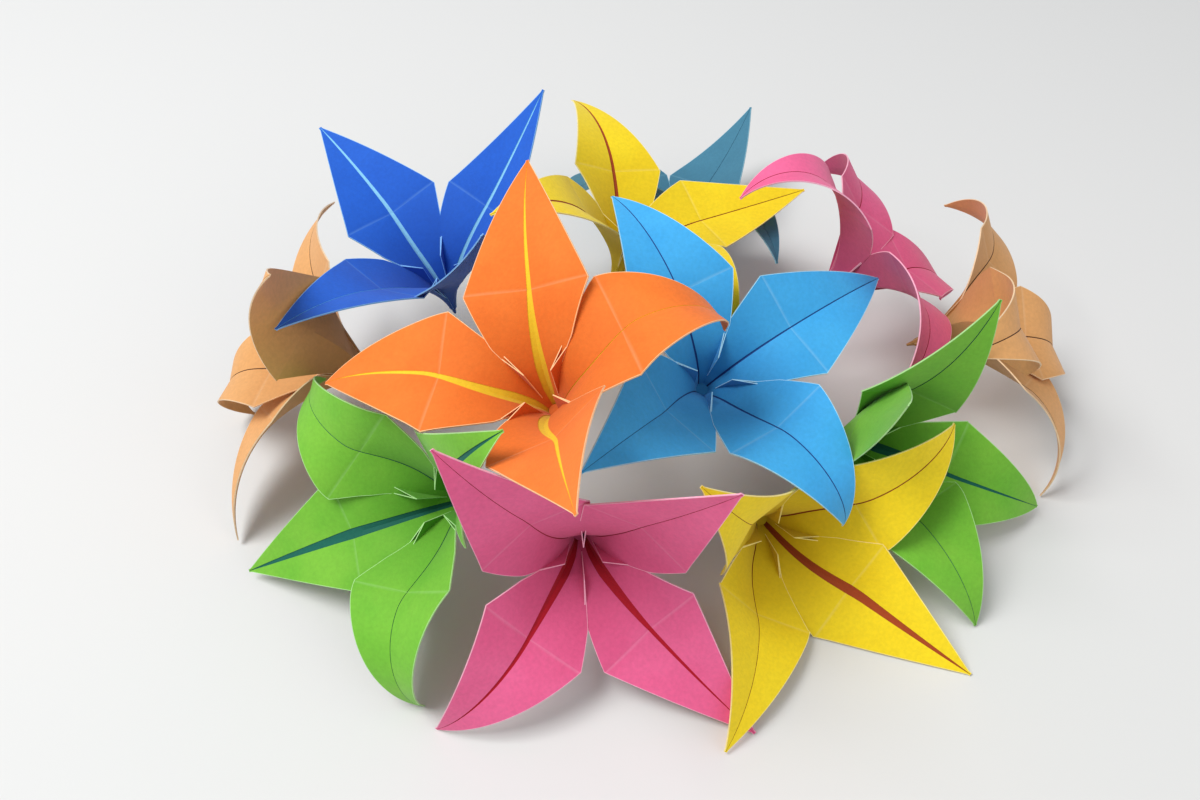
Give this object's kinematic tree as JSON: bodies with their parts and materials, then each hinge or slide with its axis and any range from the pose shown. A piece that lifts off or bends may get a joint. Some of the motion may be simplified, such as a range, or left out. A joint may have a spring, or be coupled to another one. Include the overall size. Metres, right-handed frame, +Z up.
{
  "type": "origami lily bouquet",
  "caption": "Heap of folded paper lilies in mixed colours, each with a narrow throat, inward pleats and long curled petals, lying on a table as a decoration.",
  "frame": {"origin": "centre of the heap's outline on the table, at table height", "axes": "+X to the right of the picture along the heap's longest side, +Y away from the viewer, +Z up"},
  "size_m": [0.3642, 0.3308, 0.134],
  "materials": {
    "dark_blue_paper": "matte dyed paper",
    "yellow_paper": "matte dyed paper",
    "dusty_blue_paper": "matte dyed paper",
    "pink_paper": "matte dyed paper",
    "orange_paper": "matte dyed paper",
    "light_blue_paper": "matte dyed paper",
    "green_paper": "matte dyed paper",
    "tan_paper": "matte dyed paper"
  },
  "bodies": {
    "root": {"dark_blue_lily": "dark_blue_paper", "yellow_back_lily": "yellow_paper", "dusty_blue_lily": "dusty_blue_paper", "pink_back_lily": "pink_paper", "orange_lily": "orange_paper", "light_blue_lily": "light_blue_paper", "pink_front_lily": "pink_paper", "yellow_front_lily": "yellow_paper", "green_left_lily": "green_paper", "green_right_lily": "green_paper", "tan_left_lily": "tan_paper", "tan_right_lily": "tan_paper"}
  },
  "joints": []
}
